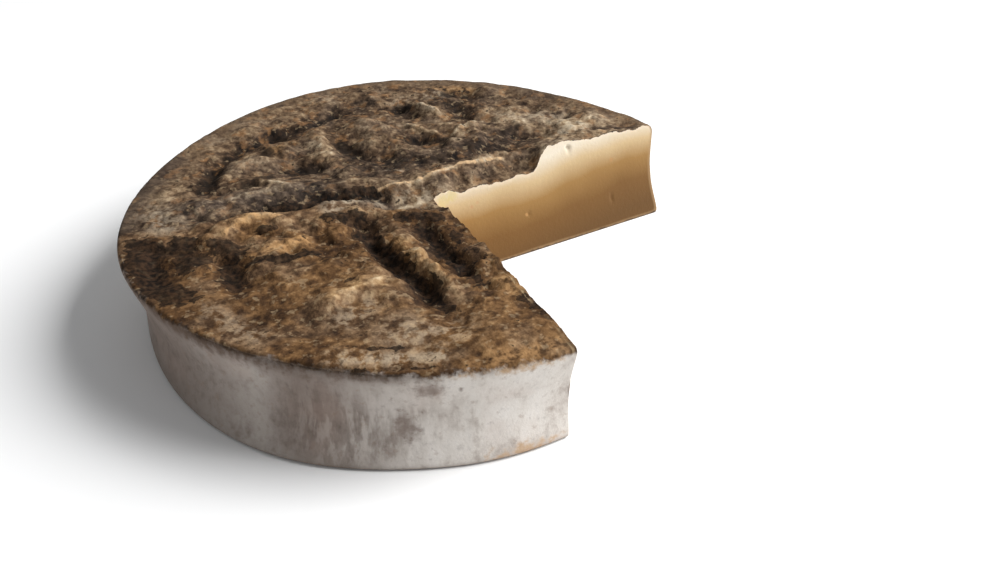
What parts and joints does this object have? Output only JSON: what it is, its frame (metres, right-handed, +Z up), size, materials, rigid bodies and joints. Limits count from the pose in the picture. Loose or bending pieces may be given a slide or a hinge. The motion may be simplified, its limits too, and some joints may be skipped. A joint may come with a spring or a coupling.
{
  "type": "saint-nectaire cheese",
  "caption": "Low round farm cheese with a crusty rind, a wedge cut out of it to show the pale paste; it lies flat on its base.",
  "frame": {"origin": "centre of the wheel, on the flat base that it lies on", "axes": "+Z up; the cut-out opens between +X and -Y, with one cut face along +X and the other along -Y"},
  "size_m": [0.233, 0.2342, 0.0412],
  "materials": {
    "rind": "dry, rough brown-grey mould crust on top, grey-white rind round the side, smooth cream paste on the cut faces"
  },
  "bodies": {
    "root": {"cheese": "rind"}
  },
  "joints": []
}
